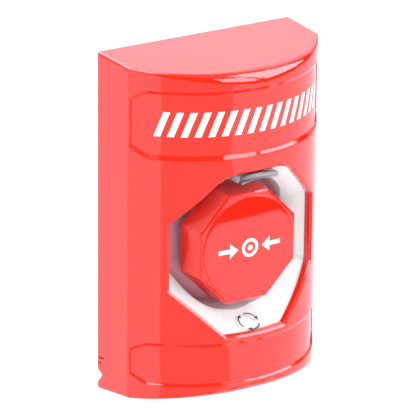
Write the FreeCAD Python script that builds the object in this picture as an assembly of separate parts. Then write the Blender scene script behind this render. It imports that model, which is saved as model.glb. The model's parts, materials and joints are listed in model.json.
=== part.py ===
import FreeCAD, Part
import math
import os
from FreeCAD import Vector

# Wall-mounted emergency push button station. Sizes in millimetres, angles in degrees.
# The origin is the middle of the wall plane. +X is right, +Y goes into the wall, +Z is up,
# so everything in front of the wall has a negative y.

# Housing
housing_height = 121.7
housing_width = 78.7
side_depth = 17.7
front_bulge = 22.7
side_taper = 0.6
top_slope = 3.9
bottom_slope = 6.9
housing_wall = 3.0
crease_radius = 1.0
front_round_side = 0.8
front_round_middle = 4.4

# Recessed label bands, heights above the housing's lower back edge
band_depth = 0.6
band_border = 1.35
band_slim_border = 0.7
band_side_margin = 0.35
upper_band_low = 89.6
upper_band_high = 113.6
lower_band_low = 8.4
lower_band_high = 23.8
band_corner_width = 3.6
band_corner_height = 3.1

# Finger notch and vent slits in the side walls
notch_low = 2.4
notch_deep_low = 5.2
notch_deep_high = 6.1
notch_high = 7.4
notch_depth = 2.45
lip_radius = 1.2
long_slit_height = 11.7
long_slit_length = 3.75
short_slit_height = 9.9
short_slit_length = 2.1
slit_start = 0.3
slit_width = 0.6
slit_depth = 0.8
slit_rise = 10.0

# Octagonal opening
button_height = 54.74
opening_across = 57.9
opening_bevel = 0.8
opening_corner_radius = 13.0

# Funnel insert
insert_wall = 1.6
insert_rim = 2.0
insert_gap = 0.05
top_facet_angle = 61.3
side_facet_angle = 45.0
well_radius = 24.5
funnel_depth = 18.0
ear_spacing = 51.0
ear_radius = 4.0
ear_front_depth = 24.0

# Button
button_across = 39.0
button_rim_depth = 32.8
button_bevel_width = 0.7
button_bevel_height = 0.6
button_skirt = 10.7
button_skirt_flare = 0.55
button_wall = 2.0
button_travel = 5.0
button_twist = 45.0
face_radius = 17.85
face_recess = 0.6
face_proud = 0.3
face_dome = 0.9
face_edge = 0.2
face_gap = 0.08

# Stem, sleeve and their fastening
stem_radius = 4.5
stem_nose_radius = 3.0
running_gap = 0.05
sleeve_wall = 2.0
sleeve_reach = 9.0
sleeve_flange_radius = 9.0
sleeve_flange = 2.0
washer_thickness = 0.5
washer_radius = 9.5
nut_height = 3.5
nut_across = 19.0
latch_radius = 1.0
latch_from_flange = 6.8
window_gap = 0.2
stop_gap = 3.6

# Return spring
spring_wire = 1.1
spring_turns = 5.0
spring_gap = 0.4

# Cross head and its clip
head_gap = 0.5
head_thickness = 1.5
head_half_height = 6.0
guide_gap = 0.15
clip_thickness = 0.8
clip_radius = 4.6
clip_gap = 0.1
stem_tail = 0.6

# Posts and contact carrier
post_spacing = 35.0
post_radius = 3.0
carrier_width = 46.0
carrier_height = 32.0
carrier_thickness = 2.0
carrier_hole_radius = 6.0

# Contact blocks
block_spacing = 14.0
block_width = 10.0
block_height = 30.0
block_depth = 21.0
block_wall = 1.5
block_floor = 2.0
block_spigot_radius = 1.5
block_spigot_offset = 11.0
chamber_half_height = 7.5
plunger_radius = 2.0
plunger_tail_radius = 1.2
plunger_gap = 0.08
bridge_depth = 6.0
bridge_half_width = 2.2
bridge_half_height = 6.5
strip_thickness = 0.8
tip_radius = 1.1
tip_height = 0.4
tip_offset = 5.2
contact_gap = 0.05
terminal_offset = 12.6
terminal_head_radius = 2.3
terminal_head_height = 1.8
terminal_shank_radius = 1.5
terminal_reach = 6.0
clamp_thickness = 1.0
clamp_opening = 1.0
contact_wire = 0.6
contact_spring_turns = 3.0

# Indicator light bar above the button
lens_inner_radius = 26.3
lens_thickness = 2.26
lens_half_width = 7.35
lens_setback = 0.33
lens_gap = 0.15
lens_collar = 1.5
lens_flange = 1.4
lens_flange_margin = 1.65
lamp_plate_half_width = 14.0
lamp_plate_reach = 11.5
lamp_count = 3
lamp_pitch = 4.5
lamp_width = 3.0
lamp_height = 2.0
lamp_depth = 2.0
lamp_clearance = 0.2
board_half_width = 15.0
board_gap = 0.3
board_height = 10.3
board_thickness = 1.6
board_screw_spacing = 23.0
board_post_radius = 2.25
plug_width = 8.0
plug_height = 5.0
plug_depth = 6.0

# Back plate
plate_thickness = 2.5
plate_gap = 0.3
service_width = 52.0
service_height = 50.0
service_corner = 4.0
box_hole_spacing = 83.3
wide_hole_spacing = 60.3
box_hole_radius = 2.2
foot_spacing = 44.0
foot_width = 8.0
foot_reach = 9.5
foot_screw_depth = 7.0
hook_spacing = 36.0
hook_width = 8.0
hook_reach = 5.0
hook_thickness = 1.6
hook_lip = 0.9
hook_pocket_gap = 0.3

# Screws
screw_gap = 0.05
screw_clearance = 0.2
head_clearance = 0.25
pilot_spare = 0.5
ear_screw_radius = 1.4
ear_screw_length = 6.0
ear_screw_head_radius = 2.6
ear_screw_head_height = 1.8
carrier_screw_length = 8.0
board_screw_radius = 0.9
board_screw_head_radius = 1.9
board_screw_head_height = 1.4
board_screw_length = 4.5
shell_screw_head_height = 1.2
shell_screw_head_radius = 2.75
shell_screw_length = 8.0
screw_slot = 0.8


# Places that follow from the sizes above

half_width = housing_width / 2
half_height = housing_height / 2
crease_x = half_width - side_taper
front_radius = (crease_x ** 2 + front_bulge ** 2) / (2 * front_bulge)
front_y = -(side_depth + front_bulge)
front_centre = front_y + front_radius
taper = side_taper / side_depth
centre_z = button_height - half_height
half_opening = opening_across / 2
octagon_corner = math.tan(math.radians(22.5))
inner_radius = front_radius - housing_wall

funnel_back = -funnel_depth
ear_front = -ear_front_depth
ear_back = ear_front + insert_wall
skirt_back = button_skirt - button_rim_depth
cup_front = skirt_back + button_travel + stop_gap
cup_back = cup_front + insert_wall
cup_outer = well_radius + insert_wall
button_front = -(button_rim_depth + button_bevel_height)
button_inside = button_front + button_wall + face_recess
sleeve_bore = stem_radius + running_gap
sleeve_radius = sleeve_bore + sleeve_wall
flange_front = cup_front - sleeve_flange
sleeve_front = flange_front - sleeve_reach
nut_front = cup_back + washer_thickness
sleeve_back = nut_front + nut_height
head_front = sleeve_back + head_gap
head_back = head_front + head_thickness
carrier_front = head_back + button_travel + head_gap
carrier_back = carrier_front + carrier_thickness
clip_front = head_back + clip_gap
clip_back = clip_front + clip_thickness
stem_back = clip_back + stem_tail
latch_y = flange_front - latch_from_flange
half_post = post_spacing / 2
chamber_front = carrier_back + block_floor
block_back = carrier_back + block_depth
bridge_front = chamber_front + bridge_depth
bridge_back = bridge_front + strip_thickness
plunger_front = head_back + clip_gap
closed_strip_back = bridge_front - 2 * tip_height - contact_gap
closed_strip_front = closed_strip_back - strip_thickness
open_strip_front = bridge_back + button_travel + 2 * tip_height + contact_gap
open_strip_back = open_strip_front + strip_thickness
chamber_back = open_strip_back + block_wall
clamp_front = open_strip_back + clamp_opening
clamp_back = clamp_front + clamp_thickness
lens_outer_radius = lens_inner_radius + lens_thickness
lens_back = ear_back + lens_flange
board_front = lens_back + lamp_clearance + lamp_depth
board_back = board_front + board_thickness
board_low = cup_outer + board_gap
board_post_z = lens_outer_radius + lens_flange_margin + board_post_radius
plate_front = -plate_thickness


# Small helpers

def along_y(radius, y_start, y_end, x=0.0, z=0.0):
    return Part.makeCylinder(radius, y_end - y_start, Vector(x, y_start, z), Vector(0, 1, 0))


def block(x_low, x_high, y_low, y_high, z_low, z_high):
    corner = Vector(x_low, y_low, z_low)
    return Part.makeBox(x_high - x_low, y_high - y_low, z_high - z_low, corner)


def join(first, others):
    return first.fuse(others).removeSplitter()


def single(shape):
    if len(shape.Solids) != 1:
        raise ValueError("expected one solid, found %d" % len(shape.Solids))
    return shape.Solids[0]


def polygon_face(points):
    return Part.Face(Part.makePolygon(points + [points[0]]))


def octagon_wire(across, y):
    half = across / 2
    cut = half * octagon_corner
    corners = [(cut, half), (half, cut), (half, -cut), (cut, -half)]
    corners += [(-x, z) for x, z in reversed(corners)]
    points = [Vector(x, y, centre_z + z) for x, z in corners]
    return Part.makePolygon(points + [points[0]])


def octagon_prism(across, y_start, y_end):
    return Part.Face(octagon_wire(across, y_start)).extrude(Vector(0, y_end - y_start, 0))


def opening_prism(across, y_start, y_end, corner_radius):
    prism = octagon_prism(across, y_start, y_end)
    upper_corners = []
    for edge in prism.Edges:
        ends = [vertex.Point for vertex in edge.Vertexes]
        runs_back = abs(ends[0].y - ends[1].y) > 1
        if runs_back and ends[0].z > centre_z + 0.45 * across:
            upper_corners.append(edge)
    return prism.makeFillet(corner_radius, upper_corners)


def octagon_taper(across_start, y_start, across_end, y_end):
    wires = [octagon_wire(across_start, y_start), octagon_wire(across_end, y_end)]
    return Part.makeLoft(wires, True, True)


def beyond(point, normal):
    size = 4 * housing_height
    slab = Part.makeBox(size, size, size, Vector(-size / 2, -size / 2, 0))
    slab.Placement = FreeCAD.Placement(Vector(point), FreeCAD.Rotation(Vector(0, 0, 1), normal))
    return slab


def hexagon_prism(across, y_start, y_end, x=0.0, z=0.0):
    reach = across / math.sqrt(3)
    points = []
    for step in range(6):
        angle = math.radians(60 * step + 30)
        points.append(Vector(x + reach * math.sin(angle), y_start, z + reach * math.cos(angle)))
    return polygon_face(points).extrude(Vector(0, y_end - y_start, 0))


def mirrored(shape):
    return shape.mirror(Vector(0, 0, 0), Vector(1, 0, 0))


def coil(mean_radius, wire_radius, y_start, y_end, turns, x=0.0, z=0.0, steps=12, sides=6):
    rise = (y_end - y_start - 2 * wire_radius) / turns
    sections = []
    for step in range(int(turns * steps) + 1):
        turn = 2 * math.pi * step / steps
        outward = Vector(math.cos(turn), 0, math.sin(turn))
        centre = outward * mean_radius + Vector(x, y_start + wire_radius + rise * step / steps, z)
        points = []
        for corner in range(sides):
            angle = 2 * math.pi * (corner + 0.5) / sides
            points.append(centre + (outward * math.cos(angle) + Vector(0, math.sin(angle), 0)) * wire_radius)
        sections.append(Part.makePolygon(points + [points[0]]))
    return Part.makeLoft(sections, True, True)


# Housing form

def crease_point(inset):
    start = half_width - inset * math.sqrt(1 + taper ** 2)
    radius = front_radius - inset
    square = 1 + taper ** 2
    linear = 2 * (start * taper - front_centre)
    rest = start ** 2 + front_centre ** 2 - radius ** 2
    y = (-linear - math.sqrt(linear ** 2 - 4 * square * rest)) / (2 * square)
    return start + taper * y, y


def half_plan(inset, y_back):
    x, y = crease_point(inset)
    radius = front_radius - inset
    angle = math.asin(x / radius) / 2
    middle = Vector(-radius * math.sin(angle), front_centre - radius * math.cos(angle), 0)
    apex = Vector(0, front_centre - radius, 0)
    back_corner = Vector(-(half_width - inset * math.sqrt(1 + taper ** 2) + taper * y_back), y_back, 0)
    crease = Vector(-x, y, 0)
    back_middle = Vector(0, y_back, 0)
    edges = [
        Part.LineSegment(back_middle, back_corner).toShape(),
        Part.LineSegment(back_corner, crease).toShape(),
        Part.Arc(crease, middle, apex).toShape(),
        Part.LineSegment(apex, back_middle).toShape(),
    ]
    return Part.Face(Part.Wire(edges))


def top_edge(inset, y):
    slope = math.radians(top_slope)
    return half_height - inset / math.cos(slope) + y * math.tan(slope)


def bottom_edge(inset, y):
    slope = math.radians(bottom_slope)
    return -half_height + inset / math.cos(slope) - y * math.tan(slope)


def half_form(inset, y_back):
    plan = half_plan(inset, y_back)
    plan.translate(Vector(0, 0, -housing_height))
    column = plan.extrude(Vector(0, 0, 2 * housing_height))
    far = 1.2 * front_y
    profile = [
        Vector(-housing_width, y_back, top_edge(inset, y_back)),
        Vector(-housing_width, far, top_edge(inset, far)),
        Vector(-housing_width, far, bottom_edge(inset, far)),
        Vector(-housing_width, y_back, bottom_edge(inset, y_back)),
    ]
    side_view = polygon_face(profile).extrude(Vector(2 * housing_width, 0, 0))
    return column.common(side_view)


def whole_form(inset, y_back=0.0):
    half = half_form(inset, y_back)
    return join(half, [mirrored(half)])


def side_edges(shape):
    found = []
    for edge in shape.Edges:
        box = edge.BoundBox
        if box.XMax > -0.9 * crease_x or not isinstance(edge.Curve, Part.Line):
            continue
        upright = box.ZLength > housing_height / 2 and box.YMax < -side_depth / 2
        edge_on = box.YLength > side_depth / 2
        if upright or edge_on:
            found.append(edge)
    return found


def rounded_form():
    half = half_form(0.0, 0.0)
    half = half.makeFillet(crease_radius, side_edges(half))
    for side in (1, -1):
        for edge in half.Edges:
            box = edge.BoundBox
            if box.XLength > crease_x / 2 and box.YLength > front_bulge / 2 and side * box.Center.z > 0:
                first = edge.valueAt(edge.FirstParameter)
                last = edge.valueAt(edge.LastParameter)
                if abs(first.x) < abs(last.x):
                    half = half.makeFillet(front_round_middle, front_round_side, [edge])
                else:
                    half = half.makeFillet(front_round_side, front_round_middle, [edge])
                break
    return join(half, [mirrored(half)])


def front_cylinder(radius):
    low = Vector(0, front_centre, -housing_height)
    return Part.makeCylinder(radius, 2 * housing_height, low, Vector(0, 0, 1))


def inner_front(x):
    return front_centre - math.sqrt(inner_radius ** 2 - x ** 2)


# Housing details

def band_cutter(low, high, low_border):
    reach = crease_x - band_side_margin
    z_low = low - half_height
    z_high = high - half_height
    corners = [
        (-reach, z_low + band_corner_height),
        (-reach + band_corner_width, z_low),
        (reach - band_corner_width, z_low),
        (reach, z_low + band_corner_height),
        (reach, z_high - band_corner_height),
        (reach - band_corner_width, z_high),
        (-reach + band_corner_width, z_high),
        (-reach, z_high - band_corner_height),
    ]
    outline = polygon_face([Vector(x, 2 * front_y, z) for x, z in corners])
    outline = outline.extrude(Vector(0, -2 * front_y - side_depth / 2, 0))
    floor = front_radius - band_depth
    profile = [
        Vector(0, 0, z_low - 1),
        Vector(front_radius, 0, z_low - 1),
        Vector(front_radius, 0, z_low),
        Vector(floor, 0, z_low + low_border),
        Vector(floor, 0, z_high - band_border),
        Vector(front_radius, 0, z_high),
        Vector(front_radius, 0, z_high + 1),
        Vector(0, 0, z_high + 1),
    ]
    core = polygon_face(profile).revolve(Vector(0, 0, 0), Vector(0, 0, 1), 360)
    core.translate(Vector(0, front_centre, 0))
    cutter = outline.cut(core)
    for side in (-1, 1):
        cutter = cutter.cut(border_slope(side, corners[2], corners[3], low_border))
        cutter = cutter.cut(border_slope(side, corners[3], corners[4], band_slim_border))
        cutter = cutter.cut(border_slope(side, corners[4], corners[5], band_border))
    return cutter


def inward_along_bow(x, z, step_x, step_z):
    angle = math.asin(x / front_radius) + step_x / front_radius
    return front_radius * math.sin(angle), z + step_z


def border_slope(side, first, second, border):
    run = Vector(second[0] - first[0], 0, second[1] - first[1])
    run.normalize()
    step_x = -abs(run.z) * border
    step_z = run.x * border * (1 if run.z > 0 else -1)
    first_in = inward_along_bow(*first, step_x, step_z)
    second_in = inward_along_bow(*second, step_x, step_z)
    strip = [Vector(side * x, 2 * front_y, z) for x, z in (first, second, second_in, first_in)]
    strip = polygon_face(strip).extrude(Vector(0, -2 * front_y, 0))
    on_bow = [Vector(side * x, front_centre - math.sqrt(front_radius ** 2 - x ** 2), z) for x, z in (first, second)]
    middle = ((first_in[0] + second_in[0]) / 2, (first_in[1] + second_in[1]) / 2)
    share = (front_radius - band_depth) / front_radius
    deep = Vector(side * middle[0] * share,
                  front_centre - share * math.sqrt(front_radius ** 2 - middle[0] ** 2), middle[1])
    normal = (on_bow[1] - on_bow[0]).cross(deep - on_bow[0])
    normal.normalize()
    if normal.y < 0:
        normal = normal * -1
    return beyond(on_bow[0], normal).common(strip)


def side_notch():
    x = -half_width - 1
    low = notch_low - half_height
    high = notch_high - half_height
    deep_low = Vector(x, -notch_depth, notch_deep_low - half_height)
    deep_high = Vector(x, -notch_depth, notch_deep_high - half_height)
    shoulder = Vector(x, -0.55 * notch_depth, deep_high.z + 0.55 * (high - deep_high.z))
    bend = Vector(x, -0.45 * notch_depth, deep_low.z - 0.45 * (deep_low.z - low))
    edges = [
        Part.Arc(Vector(x, 0, low), bend, deep_low).toShape(),
        Part.LineSegment(deep_low, deep_high).toShape(),
        Part.Arc(deep_high, shoulder, Vector(x, 0, high)).toShape(),
        Part.LineSegment(Vector(x, 0, high), Vector(x, 1, high)).toShape(),
        Part.LineSegment(Vector(x, 1, high), Vector(x, 1, low)).toShape(),
        Part.LineSegment(Vector(x, 1, low), Vector(x, 0, low)).toShape(),
    ]
    return Part.Face(Part.Wire(edges)).extrude(Vector(housing_wall + 2, 0, 0))


def side_lip():
    corner = block(-half_width - 1, -half_width + housing_wall + 1, -lip_radius, 1, -half_height - 1,
                   -half_height + lip_radius)
    low = Vector(-half_width - 2, -lip_radius, -half_height + lip_radius)
    return corner.cut(Part.makeCylinder(lip_radius, housing_wall + 4, low, Vector(1, 0, 0)))


def side_slit(height, length):
    outside = -half_width - 1
    deep = slit_depth + 1
    end_y = -length + slit_width / 2
    slot = block(outside, outside + deep, end_y, -slit_start, -slit_width / 2, slit_width / 2)
    slot = join(slot, [Part.makeCylinder(slit_width / 2, deep, Vector(outside, end_y, 0), Vector(1, 0, 0))])
    slot.rotate(Vector(0, 0, 0), Vector(1, 0, 0), -slit_rise)
    slot.translate(Vector(0, 0, height - half_height))
    return slot


def ear_places():
    half = ear_spacing / 2
    return [(x, centre_z + z) for x in (-half, half) for z in (-half, half)]


def insert_bosses(form):
    bosses = []
    for x, z in ear_places():
        boss = along_y(ear_radius - 0.5, front_y, ear_front, x, z)
        bosses.append(boss.common(form))
    return bosses


def hook_box(gap):
    pockets = []
    for side in (-1, 1):
        x = side * hook_spacing / 2
        top = top_edge(housing_wall + plate_gap, plate_front - hook_reach)
        pocket = block(
            x - hook_width / 2 - gap,
            x + hook_width / 2 + gap,
            plate_front - hook_reach - gap,
            plate_front - hook_reach + hook_thickness + gap,
            top - hook_thickness,
            top + hook_lip + gap,
        )
        pockets.append(pocket)
    return pockets


def foot_screw_places():
    return [(-foot_spacing / 2, -foot_screw_depth), (foot_spacing / 2, -foot_screw_depth)]


def shell_screw_seat(y):
    return bottom_edge(0.0, y + shell_screw_head_radius) + 2.2


def front_shell():
    form = rounded_form()
    shell = form.cut(whole_form(housing_wall, 1.0))
    shell = shell.fuse(insert_bosses(form))
    shell = shell.cut(opening_prism(opening_across, 2 * front_y, 0, opening_corner_radius))
    shell = shell.cut(octagon_bevel())
    shell = shell.cut(band_cutter(upper_band_low, upper_band_high, band_border))
    shell = shell.cut(band_cutter(lower_band_low, lower_band_high, band_slim_border))
    for x, z in ear_places():
        shell = shell.cut(along_y(ear_screw_radius + screw_gap, ear_back - ear_screw_length - pilot_spare,
                                  0, x, z))
    cuts = [side_notch(), side_lip()]
    cuts.append(side_slit(long_slit_height, long_slit_length))
    cuts.append(side_slit(short_slit_height, short_slit_length))
    for cut in cuts:
        shell = shell.cut(cut)
        shell = shell.cut(mirrored(cut))
    for pocket in hook_box(hook_pocket_gap):
        shell = shell.cut(pocket)
    for x, y in foot_screw_places():
        seat = shell_screw_seat(y)
        low = Vector(x, y, -housing_height)
        depth = seat + housing_height
        shell = shell.cut(Part.makeCylinder(shell_screw_head_radius + head_clearance, depth, low,
                                            Vector(0, 0, 1)))
        shell = shell.cut(Part.makeCylinder(ear_screw_radius + screw_clearance, depth + 6, low,
                                            Vector(0, 0, 1)))
    return single(shell)


def octagon_bevel():
    outer_radius = opening_corner_radius + opening_bevel
    cutters = opening_prism(opening_across + 2 * opening_bevel, 2 * front_y, 0, outer_radius)
    ring = front_cylinder(front_radius + 1).cut(front_cylinder(front_radius - opening_bevel))
    cutter = cutters.common(ring).cut(octagon_prism(opening_across - 4, 3 * front_y, 0))
    outer_edges = []
    for edge in cutter.Edges:
        centre = edge.valueAt((edge.FirstParameter + edge.LastParameter) / 2)
        reach_out = math.hypot(centre.x, centre.y - front_centre)
        across = max(abs(centre.x), abs(centre.z - centre_z),
                     (abs(centre.x) + abs(centre.z - centre_z)) / math.sqrt(2))
        on_bevel = abs(reach_out - (front_radius - opening_bevel)) < 0.05
        if on_bevel and across > half_opening - 1:
            outer_edges.append(edge)
    return cutter.makeChamfer(opening_bevel * 0.98, outer_edges)


# Funnel insert

def facet_planes(offset):
    flat = half_opening * octagon_corner
    top_y = inner_front(flat)
    side_y = inner_front(half_opening)
    top_angle = math.radians(top_facet_angle)
    side_angle = math.radians(side_facet_angle)
    planes = []
    for side in (-1, 1):
        normal = Vector(0, math.cos(top_angle), side * math.sin(top_angle))
        planes.append((Vector(0, top_y, centre_z + side * half_opening), normal))
        normal = Vector(side * math.sin(side_angle), math.cos(side_angle), 0)
        planes.append((Vector(side * half_opening, side_y, centre_z), normal))
    run = math.tan(side_angle)
    for x_side in (-1, 1):
        for z_side in (-1, 1):
            first = Vector(x_side * flat, top_y, centre_z + z_side * half_opening)
            second = Vector(x_side * half_opening, side_y, centre_z + z_side * flat)
            along = Vector(-x_side, run, -z_side * octagon_corner)
            normal = (second - first).cross(along)
            normal.normalize()
            if normal.y < 0:
                normal = normal * -1
            planes.append((first, normal))
    return [(point + normal * offset, normal) for point, normal in planes]


def funnel_solid(across, offset, y_end):
    shape = octagon_prism(across, 1.5 * front_y, y_end)
    for point, normal in facet_planes(offset):
        shape = shape.cut(beyond(point, normal))
    return shape


def ring_sector(inner, outer, half_width_x, y_start, y_end):
    ring = along_y(outer, y_start, y_end, 0, centre_z).cut(along_y(inner, y_start - 1, y_end + 1, 0,
                                                                   centre_z))
    window = block(-half_width_x, half_width_x, y_start, y_end, centre_z, centre_z + 2 * outer)
    return ring.common(window)


def insert_ears():
    arms = []
    reach = ear_spacing / math.sqrt(2)
    for turn in (45, 135):
        arm = block(-ear_radius, ear_radius, ear_front, ear_back, -reach, reach)
        arm.rotate(Vector(0, 0, 0), Vector(0, 1, 0), turn)
        arm.translate(Vector(0, 0, centre_z))
        arms.append(arm)
    for x, z in ear_places():
        arms.append(along_y(ear_radius, ear_front, ear_back, x, z))
    return arms


def board_screw_places():
    return [(-board_screw_spacing / 2, centre_z + board_post_z),
            (board_screw_spacing / 2, centre_z + board_post_z)]


def lamp_seat():
    plate_low = centre_z + well_radius
    plate = block(-lamp_plate_half_width, lamp_plate_half_width, ear_front, ear_back, plate_low,
                  plate_low + lamp_plate_reach)
    half = lens_half_width + lens_gap + lens_collar
    collar_high = centre_z + lens_outer_radius + lens_gap + lens_collar
    collar = block(-half, half, front_y, ear_back, plate_low, collar_high)
    parts = [plate, collar]
    for x, z in board_screw_places():
        parts.append(along_y(board_post_radius, ear_front, board_front, x, z))
    return parts


def bezel_insert():
    outer = funnel_solid(opening_across + 2 * insert_rim, insert_wall, funnel_back)
    cavity = funnel_solid(opening_across, 0.0, funnel_back)
    cup = along_y(cup_outer, 0.75 * front_y, cup_back, 0, centre_z)
    well = along_y(well_radius, 0.75 * front_y, cup_front, 0, centre_z)
    shape = outer.fuse([cup] + insert_ears() + lamp_seat())
    shape = shape.common(front_cylinder(inner_radius - insert_gap))
    shape = shape.cut(cavity)
    shape = shape.cut(well)
    for side in (-1, 1):
        post = along_y(post_radius, cup_front + insert_wall / 2, carrier_front, side * half_post, centre_z)
        shape = shape.fuse(post)
    shape = shape.cut(along_y(sleeve_radius + screw_gap, cup_front - 1, carrier_front, 0, centre_z))
    slot = ring_sector(lens_inner_radius - lens_gap, lens_outer_radius + lens_gap, lens_half_width + lens_gap,
                       front_y, ear_back + 1)
    shape = shape.cut(slot)
    flange_half = lens_half_width + lens_flange_margin + lens_gap
    shape = shape.cut(ring_sector(lens_inner_radius - lens_gap, cup_outer + lamp_plate_reach, flange_half,
                                  ear_back, cup_back))
    for x, z in ear_places():
        shape = shape.cut(along_y(ear_screw_radius + screw_clearance, ear_front - 1, ear_back + 1, x, z))
    for side in (-1, 1):
        pilot_start = carrier_back - carrier_screw_length - pilot_spare
        shape = shape.cut(along_y(ear_screw_radius + screw_gap, pilot_start, carrier_front + 1,
                                  side * half_post, centre_z))
    for x, z in board_screw_places():
        pilot_start = board_back - board_screw_length - pilot_spare
        shape = shape.cut(along_y(board_screw_radius + screw_gap, pilot_start, board_front + 1, x, z))
    return single(shape.removeSplitter())


# Indicator

def indicator_lens():
    bar = ring_sector(lens_inner_radius, lens_outer_radius, lens_half_width, front_y + lens_setback,
                      lens_back)
    flange = ring_sector(lens_inner_radius, lens_outer_radius + lens_flange_margin,
                         lens_half_width + lens_flange_margin,
                         ear_back, lens_back)
    return single(join(bar, [flange]))


def lamp_board():
    low = centre_z + board_low
    board = block(-board_half_width, board_half_width, board_front, board_back, low, low + board_height)
    for x, z in board_screw_places():
        board = board.cut(along_y(board_screw_radius + screw_clearance, board_front - 1, board_back + 1, x,
                                  z))
    return single(board)


def indicator_leds():
    lamps = []
    z = centre_z + lens_inner_radius + lens_thickness / 2
    for number in range(lamp_count):
        x = (number - (lamp_count - 1) / 2) * lamp_pitch
        lamps.append(block(x - lamp_width / 2, x + lamp_width / 2, board_front - lamp_depth, board_front,
                           z - lamp_height / 2, z + lamp_height / 2))
    return Part.makeCompound(lamps)


def lamp_plug():
    low = centre_z + board_low + 2
    body = block(-plug_width / 2, plug_width / 2, board_back, board_back + plug_depth, low, low + plug_height)
    hollow = block(-plug_width / 2 + 0.8, plug_width / 2 - 0.8, board_back + 1.2, board_back + plug_depth + 1,
                   low + 0.8, low + plug_height - 0.8)
    return single(body.cut(hollow))


# Screws

def pan_screw(shank_radius, length, head_radius, head_height):
    shank = Part.makeCylinder(shank_radius, length, Vector(0, -length, 0), Vector(0, 1, 0))
    head = Part.makeCylinder(head_radius, head_height, Vector(0, 0, 0), Vector(0, 1, 0))
    screw = join(shank, [head])
    slot = block(-head_radius - 1, head_radius + 1, head_height / 2, head_height + 1, -screw_slot / 2,
                 screw_slot / 2)
    return screw.cut(slot)


def placed(shape, x, y, z):
    copy = shape.copy()
    copy.translate(Vector(x, y, z))
    return copy


def insert_screws():
    screw = pan_screw(ear_screw_radius, ear_screw_length, ear_screw_head_radius, ear_screw_head_height)
    return Part.makeCompound([placed(screw, x, ear_back, z) for x, z in ear_places()])


def carrier_screws():
    screw = pan_screw(ear_screw_radius, carrier_screw_length, ear_screw_head_radius, ear_screw_head_height)
    return Part.makeCompound([placed(screw, side * half_post, carrier_back, centre_z) for side in (-1, 1)])


def board_screws():
    screw = pan_screw(board_screw_radius, board_screw_length, board_screw_head_radius,
                      board_screw_head_height)
    return Part.makeCompound([placed(screw, x, board_back, z) for x, z in board_screw_places()])


def shell_screws():
    screw = pan_screw(ear_screw_radius, shell_screw_length, shell_screw_head_radius, shell_screw_head_height)
    screw.rotate(Vector(0, 0, 0), Vector(1, 0, 0), -90)
    return Part.makeCompound([placed(screw, x, y, shell_screw_seat(y)) for x, y in foot_screw_places()])


# Button and its stem

def button_cap():
    rim = button_across
    front = rim - 2 * button_bevel_width
    skirt = rim + 2 * button_skirt_flare
    body = octagon_taper(front, button_front, rim, -button_rim_depth)
    body = join(body, [octagon_taper(rim, -button_rim_depth, skirt, skirt_back)])
    hollow = octagon_taper(rim - 2 * button_wall, button_inside, skirt - 2 * button_wall, skirt_back)
    body = body.cut(hollow)
    body = body.cut(along_y(face_radius + face_gap, button_front - 1, button_front + face_recess, 0,
                            centre_z))
    body = body.cut(along_y(stem_nose_radius + screw_gap, button_front - 1, button_inside + 1, 0, centre_z))
    return single(body.removeSplitter())


def button_face():
    seat = button_front + face_recess
    rim_y = button_front - face_proud
    points = [
        Vector(0, seat, 0),
        Vector(face_radius, seat, 0),
        Vector(face_radius, rim_y + face_edge, 0),
        Vector(face_radius - face_edge, rim_y, 0),
        Vector(0.75 * face_radius, rim_y - 0.44 * face_dome, 0),
        Vector(0.45 * face_radius, rim_y - 0.8 * face_dome, 0),
        Vector(0, rim_y - face_dome, 0),
    ]
    disc = polygon_face(points).revolve(Vector(0, 0, 0), Vector(0, 1, 0), 360)
    disc.translate(Vector(0, 0, centre_z))
    return single(disc)


def push_stem():
    nose_front = button_front + face_recess
    journal_front = head_front - clip_gap
    shape = along_y(stem_nose_radius, nose_front, stem_back, 0, centre_z)
    shape = join(shape, [along_y(stem_radius, button_inside, journal_front, 0, centre_z)])
    shape = shape.cut(latch_bar(latch_radius + screw_gap, 2 * stem_radius))
    groove = along_y(stem_nose_radius + 1, clip_front, clip_back, 0, centre_z)
    groove = groove.cut(along_y(stem_nose_radius - 0.6, clip_front - 1, clip_back + 1, 0, centre_z))
    return single(shape.cut(groove))


def latch_bar(radius, half_length):
    start = Vector(0, latch_y, centre_z - half_length)
    return Part.makeCylinder(radius, 2 * half_length, start, Vector(0, 0, 1))


def latch_pin():
    return latch_bar(latch_radius, sleeve_radius)


def stem_clip():
    ring = along_y(clip_radius, clip_front, clip_back, 0, centre_z)
    ring = ring.cut(along_y(stem_nose_radius - 0.6 + screw_gap, clip_front - 1, clip_back + 1, 0, centre_z))
    mouth = block(-1.6, 1.6, clip_front - 1, clip_back + 1, centre_z - clip_radius - 1, centre_z)
    return single(ring.cut(mouth))


def sleeve_windows():
    low = latch_y - latch_radius - window_gap
    high = latch_y + button_travel + latch_radius + window_gap
    half_angle = math.degrees(math.asin((latch_radius + window_gap) / sleeve_bore))
    reach = 2 * sleeve_radius
    wedges = []
    for start in (0, 180):
        points = [Vector(0, low, centre_z)]
        for step in range(4):
            angle = math.radians(start - half_angle + (button_twist + 2 * half_angle) * step / 3)
            points.append(Vector(reach * math.sin(angle), low, centre_z + reach * math.cos(angle)))
        wedges.append(polygon_face(points).extrude(Vector(0, high - low, 0)))
    return wedges


def guide_sleeve():
    tube = along_y(sleeve_radius, sleeve_front, sleeve_back, 0, centre_z)
    flange = along_y(sleeve_flange_radius, flange_front, cup_front, 0, centre_z)
    shape = join(tube, [flange])
    for wedge in sleeve_windows():
        shape = shape.cut(wedge)
    shape = shape.cut(along_y(sleeve_bore, sleeve_front - 1, sleeve_back + 1, 0, centre_z))
    return single(shape)


def sleeve_washer():
    ring = along_y(washer_radius, cup_back, nut_front, 0, centre_z)
    return single(ring.cut(along_y(sleeve_radius + screw_gap, cup_back - 1, nut_front + 1, 0, centre_z)))


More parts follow.
